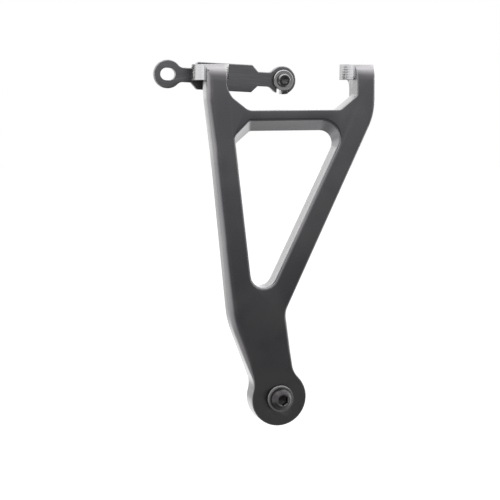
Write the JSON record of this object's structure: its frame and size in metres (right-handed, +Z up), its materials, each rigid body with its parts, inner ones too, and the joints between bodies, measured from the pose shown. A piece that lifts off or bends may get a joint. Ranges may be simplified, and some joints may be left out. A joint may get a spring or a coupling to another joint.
{
  "type": "motorcycle footrest hanger",
  "caption": "Triangular machined plate that hangs from two bolt lugs and carries an exhaust bolt in a round lug at its foot, with a thin two-eyed strap screwed behind one lug.",
  "frame": {"origin": "on the left lug's top face beside its bolt hole, on the line between the two lug holes, in the plane of the hole axes", "axes": "+Z up along the lug bolts, the hanger hangs down along -Z; +X from the left lug to the right lug; +Y from the plate's front face to its back"},
  "size_m": [0.1233, 0.0416, 0.1982],
  "materials": {
    "black_anodised": "satin black anodised, machined",
    "black_steel": "black oxide, satin",
    "zinc_steel": "zinc plated",
    "black_nylon": "matte black nylon",
    "strap_finish": "dark matte coating"
  },
  "bodies": {
    "root": {"hanger": "black_anodised", "exhaust_bolt": "black_steel", "front_bush": "black_steel", "rear_bush": "black_steel", "exhaust_washer": "zinc_steel", "exhaust_nut": "zinc_steel", "exhaust_nut_insert": "black_nylon", "strap": "strap_finish", "strap_screw_left": "black_steel", "strap_screw_right": "black_steel", "eye_bush": "black_steel", "eye_bolt": "black_steel", "eye_washer": "zinc_steel", "eye_nut": "zinc_steel", "eye_nut_insert": "black_nylon"}
  },
  "joints": []
}
